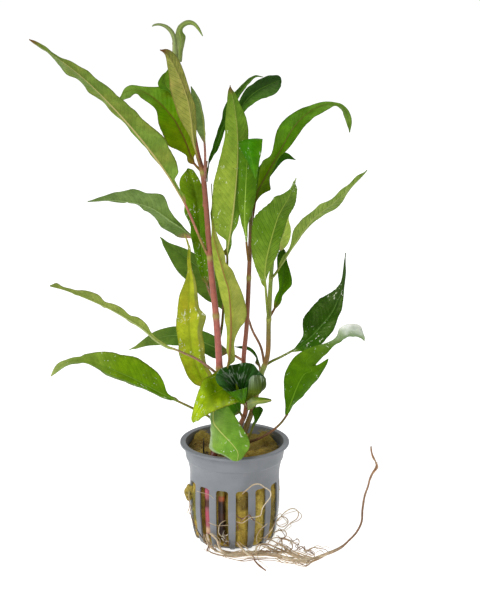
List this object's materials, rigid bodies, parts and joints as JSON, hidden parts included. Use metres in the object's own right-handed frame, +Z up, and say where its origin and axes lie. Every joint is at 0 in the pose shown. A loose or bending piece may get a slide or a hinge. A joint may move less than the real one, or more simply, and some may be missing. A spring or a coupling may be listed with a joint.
{
  "type": "potted aquarium plant",
  "caption": "Upright leafy aquarium plant with lance-shaped leaves on three stems, in a small slotted net pot filled with fibrous wool, its roots grown out through the slots.",
  "frame": {"origin": "centre of the pot's flat underside", "axes": "+Z up along the pot's axis, -Y towards the side with the lime and cupped leaves, +X towards the long root"},
  "size_m": [0.1658, 0.0759, 0.2624],
  "materials": {
    "pot": "satin",
    "rock_wool": "matte",
    "pink_stem": "satin",
    "brown_stem": "satin",
    "olive_stem": "satin",
    "leaf_green": "satin",
    "leaf_dark": "satin",
    "leaf_pale": "satin",
    "leaf_yellow": "satin",
    "root": "matte"
  },
  "bodies": {
    "root": {"pot": "pot", "rock_wool": "rock_wool", "pink_stem": "pink_stem", "brown_stem": "brown_stem", "olive_stem": "olive_stem", "pink_tip_left": "leaf_green", "pink_tip_right": "leaf_green", "pink_leaf_behind_tip": "leaf_green", "pink_leaf_pale": "leaf_pale", "pink_leaf_arched": "leaf_green", "pink_leaf_edge_on": "leaf_green", "pink_leaf_dark_back": "leaf_dark", "pink_leaf_longest": "leaf_green", "pink_leaf_left": "leaf_green", "pink_leaf_glossy": "leaf_green", "pink_leaf_tall": "leaf_green", "pink_leaf_folded": "leaf_pale", "pink_leaf_yellow": "leaf_yellow", "pink_leaf_narrow": "leaf_pale", "pink_leaf_low_left": "leaf_green", "brown_leaf_bent_over": "leaf_green", "brown_leaf_back": "leaf_dark", "brown_leaf_arching": "leaf_green", "brown_leaf_behind_arch": "leaf_dark", "brown_leaf_left": "leaf_dark", "brown_leaf_lime": "leaf_yellow", "brown_leaf_cup": "leaf_dark", "brown_leaf_low": "leaf_dark", "brown_leaf_over_rim": "leaf_green", "olive_leaf_large": "leaf_green", "olive_leaf_pale": "leaf_pale", "olive_leaf_right": "leaf_green", "olive_leaf_dark": "leaf_dark", "olive_leaf_glossy": "leaf_dark", "olive_leaf_far_left": "leaf_dark", "olive_leaf_curved": "leaf_green", "olive_leaf_small": "leaf_pale", "olive_leaf_low_right": "leaf_green", "olive_leaf_sprout": "leaf_green", "root_long": "root", "root_bundle": "root", "root_front": "root", "root_loop": "root", "root_side_loops": "root", "root_left": "root"}
  },
  "joints": []
}
